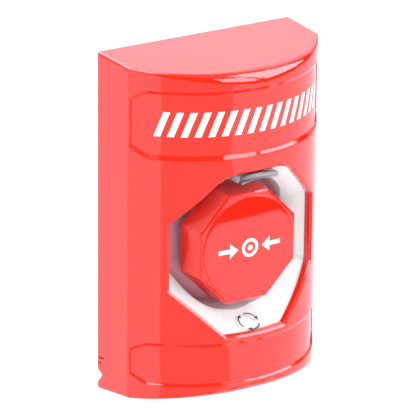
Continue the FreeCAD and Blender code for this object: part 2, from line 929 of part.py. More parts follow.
def sleeve_nut():
    nut = hexagon_prism(nut_across, nut_front, sleeve_back, 0, centre_z)
    nut = nut.common(along_y(nut_across * 0.56, nut_front, sleeve_back, 0, centre_z))
    return single(nut.cut(along_y(sleeve_radius + screw_gap, nut_front - 1, sleeve_back + 1, 0, centre_z)))


def return_spring():
    mean_radius = sleeve_radius + spring_gap + spring_wire / 2
    return single(coil(mean_radius, spring_wire / 2, button_inside, flange_front, spring_turns, 0, centre_z))


def cross_head():
    plate = block(-half_post, half_post, head_front, head_back, centre_z - head_half_height,
                  centre_z + head_half_height)
    plate = plate.cut(along_y(stem_nose_radius + running_gap, head_front - 1, head_back + 1, 0, centre_z))
    for side in (-1, 1):
        plate = plate.cut(along_y(post_radius + guide_gap, head_front - 1, head_back + 1, side * half_post,
                                  centre_z))
    return single(plate)


# Contacts

def block_places():
    return [-block_spacing / 2, block_spacing / 2]


def contact_carrier():
    plate = block(-carrier_width / 2, carrier_width / 2, carrier_front, carrier_back,
                  centre_z - carrier_height / 2, centre_z + carrier_height / 2)
    plate = plate.cut(along_y(carrier_hole_radius, carrier_front - 1, carrier_back + 1, 0, centre_z))
    for side in (-1, 1):
        plate = plate.cut(along_y(ear_screw_radius + screw_clearance, carrier_front - 1, carrier_back + 1,
                                  side * half_post, centre_z))
    for x in block_places():
        plate = plate.cut(along_y(plunger_radius + 0.5, carrier_front - 1, carrier_back + 1, x, centre_z))
        for side in (-1, 1):
            z = centre_z + side * block_spigot_offset
            plate = plate.cut(along_y(block_spigot_radius + screw_gap, carrier_front - 1, carrier_back + 1,
                                      x, z))
    return single(plate)


def strip_pair(x, arm_front, tip_side, growth=0.0):
    strips = []
    half = bridge_half_width + growth
    for side in (-1, 1):
        inner = tip_offset - tip_radius
        outer = block_height / 2 - 0.6
        riser = chamber_half_height + block_wall + 0.2
        arm_end = riser + strip_thickness
        arm = z_block(x, half, arm_front - growth, arm_front + strip_thickness + growth, side,
                      inner - growth, arm_end + growth)
        pad = z_block(x, half, open_strip_front - growth, open_strip_back + growth, side, riser - growth,
                      outer + growth)
        pieces = [pad]
        if arm_front < open_strip_front - strip_thickness:
            pieces.append(z_block(x, half, arm_front - growth, open_strip_back + growth, side,
                                  riser - growth, arm_end + growth))
        z = centre_z + side * tip_offset
        if growth == 0.0:
            if tip_side > 0:
                pieces.append(along_y(tip_radius, arm_front, arm_front + strip_thickness + tip_height, x, z))
            else:
                pieces.append(along_y(tip_radius, arm_front - tip_height, arm_front + strip_thickness, x, z))
        strip = join(arm, pieces)
        if growth == 0.0:
            hole_z = centre_z + side * terminal_offset
            strip = strip.cut(along_y(terminal_shank_radius + 0.1, open_strip_front - 1,
                                      open_strip_back + 1, x, hole_z))
        strips.append(strip)
    return strips


def z_block(x, half, y_low, y_high, side, z_inner, z_outer):
    ends = sorted((centre_z + side * z_inner, centre_z + side * z_outer))
    return block(x - half, x + half, y_low, y_high, ends[0], ends[1])


def contact_block(x, arm_front):
    half = block_width / 2
    outward = 1 if x > 0 else -1
    shape = block(x - half, x + half, carrier_back, block_back, centre_z - block_height / 2,
                  centre_z + block_height / 2)
    sides = sorted((x - outward * (half - block_wall), x + outward * (half + 1)))
    chamber = block(sides[0], sides[1], chamber_front, chamber_back,
                    centre_z - chamber_half_height, centre_z + chamber_half_height)
    shape = shape.cut(chamber)
    for side in (-1, 1):
        spigot_z = centre_z + side * block_spigot_offset
        shape = shape.fuse(along_y(block_spigot_radius, carrier_front, carrier_back + 1, x, spigot_z))
        pocket = z_block(x, half - block_wall, chamber_front + 4, block_back + 1, side,
                         chamber_half_height + block_wall, block_height)
        shape = shape.cut(pocket)
    shape = shape.cut(along_y(plunger_radius + plunger_gap, carrier_back - 1, chamber_front + 1, x, centre_z))
    for strip in strip_pair(x, arm_front, 0, contact_gap):
        shape = shape.cut(strip)
    return single(shape.removeSplitter())


def fixed_contacts(x, arm_front, tip_side):
    return Part.makeCompound(strip_pair(x, arm_front, tip_side))


def terminal_places():
    return [(x, centre_z + side * terminal_offset) for x in block_places() for side in (-1, 1)]


def terminal_screws():
    length = clamp_back - open_strip_front + terminal_reach
    screw = pan_screw(terminal_shank_radius, length, terminal_head_radius, terminal_head_height)
    return Part.makeCompound([placed(screw, x, clamp_back, z) for x, z in terminal_places()])


def terminal_clamps():
    clamps = []
    for x, z in terminal_places():
        half = terminal_head_radius
        clamp = block(x - half - 0.9, x + half + 0.9, clamp_front, clamp_back, z - half, z + half)
        clamps.append(clamp.cut(along_y(terminal_shank_radius + 0.1, clamp_front - 1, clamp_back + 1, x, z)))
    return Part.makeCompound(clamps)


def plunger(x):
    rod = along_y(plunger_radius, plunger_front, bridge_front, x, centre_z)
    tail_back = bridge_back + 2.5
    return single(join(rod, [along_y(plunger_tail_radius, bridge_front, tail_back, x, centre_z)]))


def bridge(x, tip_side):
    plate = block(x - bridge_half_width, x + bridge_half_width, bridge_front, bridge_back,
                  centre_z - bridge_half_height, centre_z + bridge_half_height)
    tips = []
    for side in (-1, 1):
        z = centre_z + side * tip_offset
        if tip_side > 0:
            tips.append(along_y(tip_radius, bridge_front, bridge_back + tip_height, x, z))
        else:
            tips.append(along_y(tip_radius, bridge_front - tip_height, bridge_back, x, z))
    plate = join(plate, tips)
    return single(plate.cut(along_y(plunger_tail_radius + screw_gap, bridge_front - 1, bridge_back + 1, x,
                                    centre_z)))


def contact_spring(x):
    mean_radius = plunger_tail_radius + contact_gap * 4 + contact_wire / 2
    return single(coil(mean_radius, contact_wire / 2, bridge_back, chamber_back, contact_spring_turns,
                       x, centre_z, 8, 4))


# Back plate

def foot_boxes(plate_form):
    feet = []
    for x, y in foot_screw_places():
        low = bottom_edge(housing_wall + plate_gap, y) - 2
        top = shell_screw_seat(y) + shell_screw_length + 1
        foot = block(x - foot_width / 2, x + foot_width / 2, -foot_reach - plate_thickness,
                     plate_front + 0.5, low, top)
        feet.append(foot.common(plate_form))
    return feet


def back_plate():
    form = whole_form(housing_wall + plate_gap)
    plate = form.common(block(-housing_width, housing_width, plate_front, 0, -housing_height, housing_height))
    plate = plate.fuse(foot_boxes(form))
    for lip in hook_box(0.0):
        plate = plate.fuse(lip)
    for side in (-1, 1):
        x = side * hook_spacing / 2
        top = top_edge(housing_wall + plate_gap, plate_front - hook_reach)
        plate = plate.fuse(block(x - hook_width / 2, x + hook_width / 2, plate_front - hook_reach,
                                 plate_front + 0.5,
                                 top - hook_thickness, top))
    window = block(-service_width / 2, service_width / 2, plate_front - 1, 1,
                   centre_z - service_height / 2, centre_z + service_height / 2)
    upright = [edge for edge in window.Edges if edge.BoundBox.YLength > plate_thickness]
    plate = plate.cut(window.makeFillet(service_corner, upright))
    for side in (-1, 1):
        plate = plate.cut(along_y(box_hole_radius, plate_front - 1, 1, 0, side * box_hole_spacing / 2))
        plate = plate.cut(along_y(box_hole_radius, plate_front - 1, 1, side * wide_hole_spacing / 2, 0))
    for x, y in foot_screw_places():
        low = Vector(x, y, -housing_height)
        depth = shell_screw_seat(y) + shell_screw_length + pilot_spare + housing_height
        plate = plate.cut(Part.makeCylinder(ear_screw_radius + screw_gap, depth, low, Vector(0, 0, 1)))
    return single(plate.removeSplitter())


def main():
    left, right = block_places()
    nodes = {
        "front_shell": front_shell(),
        "bezel_insert": bezel_insert(),
        "insert_screws": insert_screws(),
        "indicator_lens": indicator_lens(),
        "lamp_board": lamp_board(),
        "indicator_leds": indicator_leds(),
        "lamp_plug": lamp_plug(),
        "board_screws": board_screws(),
        "guide_sleeve": guide_sleeve(),
        "sleeve_washer": sleeve_washer(),
        "sleeve_nut": sleeve_nut(),
        "return_spring": return_spring(),
        "button_cap": button_cap(),
        "button_face": button_face(),
        "push_stem": push_stem(),
        "latch_pin": latch_pin(),
        "stem_clip": stem_clip(),
        "cross_head": cross_head(),
        "contact_carrier": contact_carrier(),
        "carrier_screws": carrier_screws(),
        "contact_block_left": contact_block(left, closed_strip_front),
        "contact_block_right": contact_block(right, open_strip_front),
        "fixed_contacts_left": fixed_contacts(left, closed_strip_front, 1),
        "fixed_contacts_right": fixed_contacts(right, open_strip_front, -1),
        "terminal_screws": terminal_screws(),
        "terminal_clamps": terminal_clamps(),
        "plunger_left": plunger(left),
        "plunger_right": plunger(right),
        "bridge_left": bridge(left, -1),
        "bridge_right": bridge(right, 1),
        "contact_spring_left": contact_spring(left),
        "contact_spring_right": contact_spring(right),
        "back_plate": back_plate(),
        "shell_screws": shell_screws(),
    }
    os.makedirs("parts", exist_ok=True)
    for name, shape in nodes.items():
        shape.exportStep("parts/%s.step" % name)
        print(name, len(shape.Solids), round(shape.Volume, 2))


main()
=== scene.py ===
import json
import math

import bmesh
import bpy
from mathutils import Matrix, Vector


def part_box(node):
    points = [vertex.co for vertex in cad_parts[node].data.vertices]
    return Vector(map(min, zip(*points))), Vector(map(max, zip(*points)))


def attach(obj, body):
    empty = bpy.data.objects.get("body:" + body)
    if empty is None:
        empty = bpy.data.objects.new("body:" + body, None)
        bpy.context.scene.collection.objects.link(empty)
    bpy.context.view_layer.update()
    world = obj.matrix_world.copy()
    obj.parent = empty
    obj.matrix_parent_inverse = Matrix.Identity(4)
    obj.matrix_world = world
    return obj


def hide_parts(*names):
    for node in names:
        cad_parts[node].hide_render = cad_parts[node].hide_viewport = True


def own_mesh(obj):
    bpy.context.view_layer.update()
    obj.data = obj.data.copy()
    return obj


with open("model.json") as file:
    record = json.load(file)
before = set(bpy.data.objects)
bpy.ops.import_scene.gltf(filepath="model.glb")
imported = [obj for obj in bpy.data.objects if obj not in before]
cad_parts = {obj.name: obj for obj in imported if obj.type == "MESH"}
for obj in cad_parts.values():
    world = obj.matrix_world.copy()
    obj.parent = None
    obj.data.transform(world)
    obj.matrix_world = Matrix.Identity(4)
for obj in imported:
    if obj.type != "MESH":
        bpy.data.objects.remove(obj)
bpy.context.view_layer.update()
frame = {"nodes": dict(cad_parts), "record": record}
print("frame loaded with", len(frame["nodes"]), "pieces")

mm = 0.001
scene = bpy.context.scene

# sizes shared by the printed marks, read from the solids where they sit
shellLow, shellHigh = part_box("front_shell")
capLow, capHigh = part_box("button_cap")
faceLow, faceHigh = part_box("button_face")
buttonZ = (capLow.z + capHigh.z) / 2
bowBulge = 22.7 * mm                    # how far the bowed front stands out
sideLean = 0.6 * mm                     # the side walls lean in a little
bowReach = shellHigh.x - sideLean
bowRadius = (bowReach ** 2 + bowBulge ** 2) / (2 * bowBulge)
bowCentreY = shellLow.y + bowRadius


# small mesh helpers

def meshObject(name, bm, smooth=None):
    mesh = bpy.data.meshes.new(name)
    bm.to_mesh(mesh)
    bm.free()
    if smooth is not None:
        for face in mesh.polygons:
            face.use_smooth = True
        mesh.set_sharp_from_angle(angle=math.radians(smooth))
    piece = bpy.data.objects.new(name, mesh)
    scene.collection.objects.link(piece)
    return piece


def addPrism(bm, corners, depth):
    # flat outline in x and z at y 0, thickened towards the viewer
    verts = [bm.verts.new((x, 0, z)) for x, z in corners]
    face = bm.faces.new(verts)
    out = bmesh.ops.extrude_face_region(bm, geom=[face])
    moved = [v for v in out["geom"] if isinstance(v, bmesh.types.BMVert)]
    bmesh.ops.translate(bm, vec=(0, -depth, 0), verts=moved)


# shared shader groups

floatSocket, colourSocket, vectorSocket = "NodeSocketFloat", "NodeSocketColor", "NodeSocketVector"
skinTexture = {"rippleDetail": 1.0, "grainDetail": 2.0, "driftDetail": 3.0, "driftScale": 55.0}
skinInputs = (
    ("Colour", colourSocket, (0.8, 0.8, 0.8, 1)),
    ("Ripple Scale", floatSocket, 30.0),
    ("Ripple Height", floatSocket, 0.5),
    ("Grain Scale", floatSocket, 2500.0),
    ("Grain Height", floatSocket, 0.1),
    ("Tone Drift And Painted Streaks", floatSocket, 0.03),
    ("Gloss", floatSocket, 0.12),
    ("Gloss Drift", floatSocket, 0.03),
    ("Stretch", vectorSocket, (1.0, 1.0, 1.0)),
)
skinOutputs = (("Colour", colourSocket), ("Height", floatSocket), ("Roughness", floatSocket))


def makeGroup(name, inputs, outputs):
    group = bpy.data.node_groups.new(name, "ShaderNodeTree")
    for title, kind, default in inputs:
        socket = group.interface.new_socket(name=title, in_out="INPUT", socket_type=kind)
        if default is not None:
            socket.default_value = default
    for title, kind in outputs:
        group.interface.new_socket(name=title, in_out="OUTPUT", socket_type=kind)
    return group


def makeMaths(nodes, links):
    # each call of what this returns adds one maths node, whose values are numbers or sockets
    def maths(operation, *values):
        node = nodes.new("ShaderNodeMath")
        node.operation = operation
        for index, value in enumerate(values):
            if isinstance(value, (int, float)):
                node.inputs[index].default_value = value
            else:
                links.new(value, node.inputs[index])
        return node.outputs[0]

    return maths


def addNoise(nodes, links, place, scale, detail):
    noise = nodes.new("ShaderNodeTexNoise")
    noise.inputs["Detail"].default_value = detail
    links.new(place, noise.inputs["Vector"])
    if isinstance(scale, float):
        noise.inputs["Scale"].default_value = scale
    else:
        links.new(scale, noise.inputs["Scale"])
    return noise.outputs["Fac"]


def makeMouldedGroup(d):
    # slow ripples of a moulded wall plus a fine skin, as one height, and a tone drift: slight for most
    # finishes, while on the clear bar it is large and paints dark and bright streaks into the colour, a
    # painted reflection
    group = makeGroup("mouldedSkin", skinInputs, skinOutputs)
    nodes, links = group.nodes, group.links
    maths = makeMaths(nodes, links)
    entry = nodes.new("NodeGroupInput")
    leave = nodes.new("NodeGroupOutput")
    coords = nodes.new("ShaderNodeTexCoord")
    spread = nodes.new("ShaderNodeVectorMath")
    spread.operation = "MULTIPLY"
    links.new(coords.outputs["Object"], spread.inputs[0])
    links.new(entry.outputs["Stretch"], spread.inputs[1])
    place = spread.outputs[0]
    ripple = addNoise(nodes, links, place, entry.outputs["Ripple Scale"], d["rippleDetail"])
    grain = addNoise(nodes, links, place, entry.outputs["Grain Scale"], d["grainDetail"])
    drift = addNoise(nodes, links, place, d["driftScale"], d["driftDetail"])
    tall = maths("MULTIPLY", ripple, entry.outputs["Ripple Height"])
    small = maths("MULTIPLY", grain, entry.outputs["Grain Height"])
    links.new(maths("ADD", tall, small), leave.inputs["Height"])
    centred = maths("SUBTRACT", drift, 0.5)   # the noise lies around one half
    # a small drift is a random tone; the clear bar's large drift paints streaks that stand in for its
    # reflections
    tone = maths("ADD", maths("MULTIPLY", centred, entry.outputs["Tone Drift And Painted Streaks"]), 1.0)
    scale = nodes.new("ShaderNodeVectorMath")
    scale.operation = "SCALE"
    links.new(entry.outputs["Colour"], scale.inputs[0])
    links.new(tone, scale.inputs["Scale"])
    links.new(scale.outputs[0], leave.inputs["Colour"])
    glossChange = maths("MULTIPLY", centred, entry.outputs["Gloss Drift"])
    links.new(maths("ADD", entry.outputs["Gloss"], glossChange), leave.inputs["Roughness"])
    return group


mouldedSkin = makeMouldedGroup(skinTexture)


# what a look has where it says nothing else
plainLook = {"bump": 0.3, "bumpDistance": 0.0002, "softEdge": 0.0, "recess": None, "bounce": None,
             "metallic": 0.0, "ior": 1.5, "specular": 0.5, "transmission": 0.0}
skinKeys = {"rippleScale": "Ripple Scale", "rippleHeight": "Ripple Height", "grainScale": "Grain Scale",
            "grainHeight": "Grain Height", "toneDriftAndPaintedStreaks": "Tone Drift And Painted Streaks", "gloss": "Gloss",
            "glossDrift": "Gloss Drift", "stretch": "Stretch"}
shaderKeys = {"metallic": "Metallic", "ior": "IOR", "specular": "Specular IOR Level",
              "transmission": "Transmission Weight"}
edgeSamples = 6


def blendColour(nodes, links, share, first, second):
    blend = nodes.new("ShaderNodeMix")
    blend.data_type = "RGBA"
    links.new(share, blend.inputs["Factor"])
    links.new(first, blend.inputs["A"])
    blend.inputs["B"].default_value = (*second, 1)
    return blend.outputs["Result"]


def paintRecessShade(nodes, links, colour, recess):
    # painted shade and painted red bounce light: the floor of the well is coloured mauve, more so deeper
    # in, for the shade there and the red that the button standing before it throws onto it
    maths = makeMaths(nodes, links)
    place = nodes.new("ShaderNodeTexCoord")
    parts = nodes.new("ShaderNodeSeparateXYZ")
    links.new(place.outputs["Object"], parts.inputs[0])
    depth = nodes.new("ShaderNodeMapRange")
    depth.interpolation_type = "SMOOTHSTEP"
    links.new(parts.outputs["Y"], depth.inputs["Value"])
    depth.inputs["From Min"].default_value = recess["front"]
    depth.inputs["From Max"].default_value = recess["back"]
    inside = maths("LESS_THAN", parts.outputs["Y"], recess["end"])
    share = maths("MULTIPLY", depth.outputs["Result"], inside)
    return blendColour(nodes, links, share, colour, recess["colour"])


def mouldedMaterial(name, ownLook):
    look = {**plainLook, **ownLook}
    material = bpy.data.materials.new(name)
    material.use_nodes = True
    nodes, links = material.node_tree.nodes, material.node_tree.links
    shader = nodes["Principled BSDF"]
    skin = nodes.new("ShaderNodeGroup")
    skin.node_tree = mouldedSkin
    skin.inputs["Colour"].default_value = (*look["colour"], 1)
    for key, socket in skinKeys.items():
        if key in look:
            skin.inputs[socket].default_value = look[key]
    bump = nodes.new("ShaderNodeBump")
    bump.inputs["Strength"].default_value = look["bump"]
    bump.inputs["Distance"].default_value = look["bumpDistance"]
    links.new(skin.outputs["Height"], bump.inputs["Height"])
    if look["softEdge"]:
        edge = nodes.new("ShaderNodeBevel")
        edge.samples = edgeSamples
        edge.inputs["Radius"].default_value = look["softEdge"]
        links.new(edge.outputs["Normal"], bump.inputs["Normal"])
    links.new(bump.outputs["Normal"], shader.inputs["Normal"])
    colour = skin.outputs["Colour"]
    # painted shade: the recess colour paints the shade and the button's red bounce light into the deep well
    if look["recess"]:
        colour = paintRecessShade(nodes, links, colour, look["recess"])
    if look["bounce"]:
        # light thrown back onto other pieces is calmer than the strong colour itself
        path = nodes.new("ShaderNodeLightPath")
        colour = blendColour(nodes, links, path.outputs["Is Diffuse Ray"], colour, look["bounce"])
    links.new(colour, shader.inputs["Base Color"])
    links.new(skin.outputs["Roughness"], shader.inputs["Roughness"])
    for key, socket in shaderKeys.items():
        shader.inputs[socket].default_value = look[key]
    return material


looks = {
    "redHousing": {"colour": (0.88, 0.019, 0.006), "gloss": 0.05, "glossDrift": 0.01, "rippleScale": 22,
                   "rippleHeight": 0.9, "grainHeight": 0.012, "specular": 0.9, "softEdge": 0.0006,
                   "bump": 0.25, "bounce": (0.52, 0.46, 0.47)},
    "redButton": {"colour": (0.84, 0.016, 0.005), "gloss": 0.03, "glossDrift": 0.01, "rippleScale": 40,
                  "rippleHeight": 0.3, "grainHeight": 0.005, "specular": 0.9, "softEdge": 0.0005,
                  "bump": 0.25, "bounce": (0.58, 0.36, 0.40)},
    "whiteInsert": {"colour": (0.90, 0.905, 0.905), "gloss": 0.28, "rippleScale": 50, "rippleHeight": 0.4,
                    "softEdge": 0.0003, "bump": 0.2,
                    # painted shade: this mauve, laid deep in the well, paints the shade and the button's
                    # red bounce light there
                    "recess": {"colour": (0.92, 0.40, 0.48), "front": -0.0215, "back": -0.0145,
                               "end": -0.0129}},
    # painted reflection: the large tone drift, stretched along the bar, paints dark and bright streaks into
    # its grey colour
    "clearLens": {"colour": (0.34, 0.31, 0.33), "gloss": 0.02, "glossDrift": 0.01, "transmission": 0.3,
                  "ior": 1.6, "specular": 1.0, "rippleScale": 30, "rippleHeight": 7.0,
                  "stretch": (0.6, 9.0, 9.0), "toneDriftAndPaintedStreaks": 7.5, "bump": 1.0, "bumpDistance": 0.0004},
    "boardGreen": {"colour": (0.03, 0.20, 0.09), "gloss": 0.35, "grainHeight": 0.3},
    "lampWhite": {"colour": (0.86, 0.84, 0.72), "gloss": 0.25},
    "palePolymer": {"colour": (0.78, 0.77, 0.71), "gloss": 0.38, "grainHeight": 0.2},
    "darkPlastic": {"colour": (0.028, 0.028, 0.031), "gloss": 0.42, "grainHeight": 0.5,
                    "grainScale": 1400},
    "blockGrey": {"colour": (0.20, 0.21, 0.23), "gloss": 0.40, "grainHeight": 0.5, "grainScale": 1400},
    "zincSteel": {"colour": (0.60, 0.60, 0.58), "gloss": 0.30, "metallic": 1.0, "glossDrift": 0.12},
    "springSteel": {"colour": (0.46, 0.46, 0.45), "gloss": 0.22, "metallic": 1.0},
    "contactBrass": {"colour": (0.78, 0.56, 0.26), "gloss": 0.26, "metallic": 1.0},
    "markWhite": {"colour": (0.90, 0.90, 0.89), "gloss": 0.30, "bump": 0.1},
    "markGrey": {"colour": (0.045, 0.045, 0.05), "gloss": 0.45, "bump": 0.1},
}
finish = {name: mouldedMaterial(name, look) for name, look in looks.items()}
print("finishes made:", len(finish))

slotFinish = {
    "red_housing": "redHousing", "red_button": "redButton", "white_insert": "whiteInsert",
    "clear_lens": "clearLens", "board_green": "boardGreen", "lamp_white": "lampWhite",
    "pale_polymer": "palePolymer", "dark_plastic": "darkPlastic", "block_grey": "blockGrey",
    "steel": "zincSteel", "spring_steel": "springSteel", "brass": "contactBrass",
}


# solids that stay, with smooth shading across their curved walls

# the housing's angle is small, so that the borders of its bands stay crisp
shading = {"weld": 0.000002, "shellAngle": 11, "otherAngle": 24}


def dressNode(node, finishName, angle):
    mesh = node.data
    mesh.materials.clear()
    mesh.materials.append(finish[finishName])
    for face in mesh.polygons:
        face.use_smooth = True
    weld = node.modifiers.new("weld", "WELD")
    weld.merge_threshold = shading["weld"]
    split = node.modifiers.new("split", "EDGE_SPLIT")
    split.split_angle = math.radians(angle)
    normals = node.modifiers.new("normals", "WEIGHTED_NORMAL")
    normals.keep_sharp = True


slots = {part["node"]: part["material_slot"] for part in frame["record"]["subparts"]}
for name, node in frame["nodes"].items():
    angle = shading["shellAngle" if name == "front_shell" else "otherAngle"]
    dressNode(node, slotFinish[slots[name]], angle)
print("solids dressed")


# printed marks

bandMark = {"barWidth": 2.3, "barPitch": 4.62, "barCount": 16, "lean": 3.4, "height": 8.6,
            "middle": 102.0, "film": 0.06, "recess": 0.6, "cutReach": 40}


def wrapToBow(bm, radius):
    # flat x becomes distance along the bow, y stays the height above it
    for vert in bm.verts:
        angle = vert.co.x / radius
        reach = radius - vert.co.y
        vert.co.x = reach * math.sin(angle)
        vert.co.y = bowCentreY - reach * math.cos(angle)


def makeBandMark(d):
    bm = bmesh.new()
    radius = bowRadius - d["recess"] * mm
    baseZ = shellLow.z + d["middle"] * mm
    for number in range(d["barCount"]):
        x = (number - (d["barCount"] - 1) / 2) * d["barPitch"]
        half, lean, tall = d["barWidth"] / 2, d["lean"] / 2, d["height"] / 2
        corners = [(x - half - lean, -tall), (x + half - lean, -tall),
                   (x + half + lean, tall), (x - half + lean, tall)]
        addPrism(bm, [(cx * mm, cz * mm) for cx, cz in corners], d["film"] * mm)
    for start in range(-d["cutReach"], d["cutReach"] + 1):
        # a cut at each millimetre, so that the bars bend with the front
        bmesh.ops.bisect_plane(bm, geom=bm.verts[:] + bm.edges[:] + bm.faces[:],
                               plane_co=(start * mm, 0, 0), plane_no=(1, 0, 0))
    bmesh.ops.recalc_face_normals(bm, faces=bm.faces[:])
    wrapToBow(bm, radius)
    for vert in bm.verts:
        vert.co.z += baseZ
    piece = meshObject("bandBars", bm)
    piece.data.materials.append(finish["markWhite"])
    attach(piece, "housing")


makeBandMark(bandMark)

pushMark = {"ringOuter": 3.3, "ringInner": 2.2, "dot": 1.0, "arrowTip": 4.9, "arrowHead": 3.2,
            "arrowHalf": 2.6, "shaftHalf": 0.75, "shaftEnd": 12.6, "film": 0.06,
            "ringSides": 64, "dotSides": 32}


def makePushMark(d):
    bm = bmesh.new()
    for side in (-1, 1):
        tip, neck, end = d["arrowTip"], d["arrowTip"] + d["arrowHead"], d["shaftEnd"]
        outline = [(tip, 0), (neck, d["arrowHalf"]), (neck, d["shaftHalf"]), (end, d["shaftHalf"]),
                   (end, -d["shaftHalf"]), (neck, -d["shaftHalf"]), (neck, -d["arrowHalf"])]
        addPrism(bm, [(side * x * mm, z * mm) for x, z in outline], d["film"] * mm)
    sides = d["ringSides"]
    ring = bmesh.ops.create_circle(bm, segments=sides, radius=d["ringOuter"] * mm)["verts"]
    inner = bmesh.ops.create_circle(bm, segments=sides, radius=d["ringInner"] * mm)["verts"]
    edges = [e for e in bm.edges if e.verts[0] in ring and e.verts[1] in ring]
    edges += [e for e in bm.edges if e.verts[0] in inner and e.verts[1] in inner]
    faces = list(bmesh.ops.bridge_loops(bm, edges=edges)["faces"])
    dot = bmesh.ops.create_circle(bm, segments=d["dotSides"], radius=d["dot"] * mm, cap_ends=True)["verts"]
    faces += [f for f in bm.faces if all(v in dot for v in f.verts)]
    upright = Matrix.Rotation(math.radians(90), 3, "X")
    bmesh.ops.rotate(bm, verts=list(set(ring) | set(inner) | set(dot)), cent=(0, 0, 0), matrix=upright)
    out = bmesh.ops.extrude_face_region(bm, geom=faces)
    moved = [v for v in out["geom"] if isinstance(v, bmesh.types.BMVert)]
    bmesh.ops.translate(bm, vec=(0, -d["film"] * mm, 0), verts=moved)
    bmesh.ops.recalc_face_normals(bm, faces=bm.faces[:])
    for vert in bm.verts:
        vert.co.y += domeY(math.hypot(vert.co.x, vert.co.z))
        vert.co.z += buttonZ
    piece = meshObject("pushArrows", bm)
    piece.data.materials.append(finish["markWhite"])
    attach(piece, "button")


domeShape = {"radius": 18.35, "rise": 0.93, "edge": 0.25, "seat": 17.8, "lip": 0.02,
             "crownSteps": 14, "edgeSteps": 4, "turnSteps": 128, "merge": 0.000001, "sharp": 35}


def domeY(reach):
    return faceLow.y + domeShape["rise"] * mm * (reach / (domeShape["radius"] * mm)) ** 2


def makeButtonFace(d):
    # one smooth crown in place of the solid's stepped one, its rim just clear of the cap's front
    bm = bmesh.new()
    radius, edge = d["radius"] * mm, d["edge"] * mm
    profile = [bm.verts.new((0, domeY(0), buttonZ))]
    for step in range(1, d["crownSteps"] + 1):
        reach = (radius - edge) * step / d["crownSteps"]
        profile.append(bm.verts.new((reach, domeY(reach), buttonZ)))
    rimY = domeY(radius - edge)
    for turn in range(1, d["edgeSteps"] + 1):
        angle = math.radians(90 * turn / d["edgeSteps"])
        reach = radius - edge + edge * math.sin(angle)
        profile.append(bm.verts.new((reach, rimY + edge * (1 - math.cos(angle)), buttonZ)))
    seat, lipY = d["seat"] * mm, capLow.y - d["lip"] * mm
    for reach, depth in ((radius, lipY), (seat, lipY), (seat, faceHigh.y), (0, faceHigh.y)):
        profile.append(bm.verts.new((reach, depth, buttonZ)))
    edges = [bm.edges.new((a, b)) for a, b in zip(profile, profile[1:])]
    bmesh.ops.spin(bm, geom=profile + edges, cent=(0, 0, buttonZ), axis=(0, 1, 0), angle=math.tau,
                   steps=d["turnSteps"], use_merge=True, dvec=(0, 0, 0))
    bmesh.ops.remove_doubles(bm, verts=bm.verts[:], dist=d["merge"])
    bmesh.ops.recalc_face_normals(bm, faces=bm.faces[:])
    piece = meshObject("buttonCrown", bm, d["sharp"])
    piece.data.materials.append(finish["redButton"])
    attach(piece, "button")
    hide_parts("button_face")


makeButtonFace(domeShape)
makePushMark(pushMark)

turnMark = {"arrows": 3, "radius": 3.7, "line": 0.5, "start": -2, "sweep": 72, "steps": 12, "head": 1.6,
            "headLength": 1.7, "film": 0.04, "place": (0.0, -34.4, -26.9), "tilt": -61.3}


def makeTurnMark(d):
    # three arrows that chase each other clockwise, laid on the lower slope of the funnel
    def onCircle(radius, degrees):
        angle = math.radians(degrees)
        return radius * math.sin(angle) * mm, radius * math.cos(angle) * mm

    bm = bmesh.new()
    radius, steps = d["radius"], d["steps"]
    for number in range(d["arrows"]):
        start = 360 / d["arrows"] * number + d["start"]
        end = start + d["sweep"]
        turns = [start + d["sweep"] * step / steps for step in range(steps + 1)]
        points = [onCircle(radius + d["line"] / 2, turn) for turn in turns]
        points.append(onCircle(radius + d["head"] / 2, end))
        points.append(onCircle(radius, end + math.degrees(d["headLength"] / radius)))
        points.append(onCircle(radius - d["head"] / 2, end))
        points += [onCircle(radius - d["line"] / 2, turn) for turn in reversed(turns)]
        addPrism(bm, points, d["film"] * mm)
    bmesh.ops.recalc_face_normals(bm, faces=bm.faces[:])
    x, y, z = d["place"]
    place = Matrix.Translation((x * mm, y * mm, buttonZ + z * mm))
    tilt = Matrix.Rotation(math.radians(d["tilt"]), 4, "X")
    bmesh.ops.transform(bm, matrix=place @ tilt, verts=bm.verts[:])
    piece = meshObject("turnArrows", bm)
    piece.data.materials.append(finish["markGrey"])
    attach(piece, "housing")


makeTurnMark(turnMark)
print("marks printed")


# springs with round wire

springs = {
    "returnCoil": {"node": "return_spring", "joint": "button_push",
                   "wire": 1.1, "turns": 5.0, "steps": 40},
    "leftContactCoil": {"node": "contact_spring_left", "joint": "contact_left_slide",
                        "wire": 0.6, "turns": 3.0, "steps": 32},
    "rightContactCoil": {"node": "contact_spring_right", "joint": "contact_right_slide",
                         "wire": 0.6, "turns": 3.0, "steps": 32},
}
wireSides, coilSharp = 12, 40


def makeSpring(name, d):
    low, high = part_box(d["node"])
    wire = d["wire"] * mm / 2
    middle = (low + high) / 2
    mean = (high.x - low.x) / 2 - wire
    bm = bmesh.new()
    ring = bmesh.ops.create_circle(bm, segments=wireSides, radius=wire)["verts"]
    bmesh.ops.translate(bm, vec=(middle.x + mean, low.y + wire, middle.z), verts=ring)
    edges = bm.edges[:]
    length = high.y - low.y
    steps = int(d["turns"] * d["steps"])
    rise = (length - 2 * wire) / steps
    bmesh.ops.spin(bm, geom=ring + edges, cent=(middle.x, 0, middle.z), axis=(0, 1, 0),
                   angle=math.tau * d["turns"], steps=steps, dvec=(0, rise, 0), use_merge=False)
    bmesh.ops.holes_fill(bm, edges=[e for e in bm.edges if e.is_boundary], sides=0)
    bmesh.ops.recalc_face_normals(bm, faces=bm.faces[:])
    piece = meshObject(name, bm, coilSharp)
    piece.data.materials.append(finish["springSteel"])
    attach(piece, "housing")
    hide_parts(d["node"])
    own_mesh(piece)


for name, spring in springs.items():
    makeSpring(name, spring)
print("springs wound")


# floor, light and camera

studio = {"floorDrop": 0.14, "floorSize": 6.0, "tone": 0.9, "roughness": 0.9, "glow": 1.35,
          "glowShare": 0.6}


